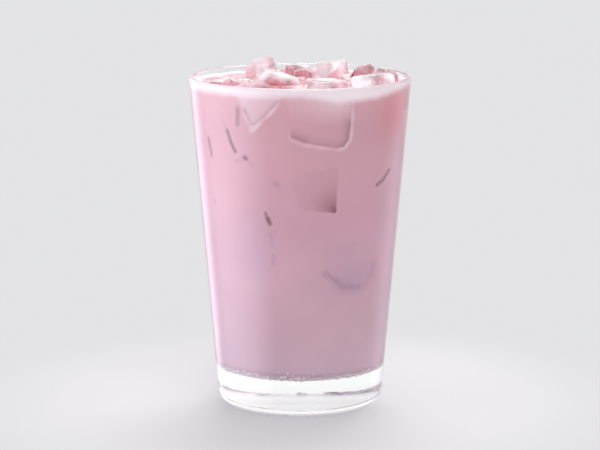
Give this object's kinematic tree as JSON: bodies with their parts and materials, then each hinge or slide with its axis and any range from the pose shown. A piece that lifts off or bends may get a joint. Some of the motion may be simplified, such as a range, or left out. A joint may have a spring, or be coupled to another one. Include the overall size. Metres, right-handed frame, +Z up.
{
  "type": "iced fruit drink",
  "caption": "Straight tapered drinking glass with a thick base, filled almost to the rim with a milky pink fruit drink and rough blocks of ice.",
  "frame": {"origin": "middle of the glass's foot, on the plane it stands on", "axes": "+Z up along the glass's axis; -Y faces the viewer"},
  "size_m": [0.0898, 0.0898, 0.14],
  "materials": {
    "clear_glass": "polished",
    "fruit_drink": "glossy",
    "ice": "wet"
  },
  "bodies": {
    "root": {"glass": "clear_glass", "drink": "fruit_drink", "ice_1": "ice", "ice_2": "ice", "ice_3": "ice", "ice_4": "ice", "ice_5": "ice", "ice_6": "ice", "ice_7": "ice", "ice_8": "ice", "ice_9": "ice", "ice_10": "ice"}
  },
  "joints": []
}
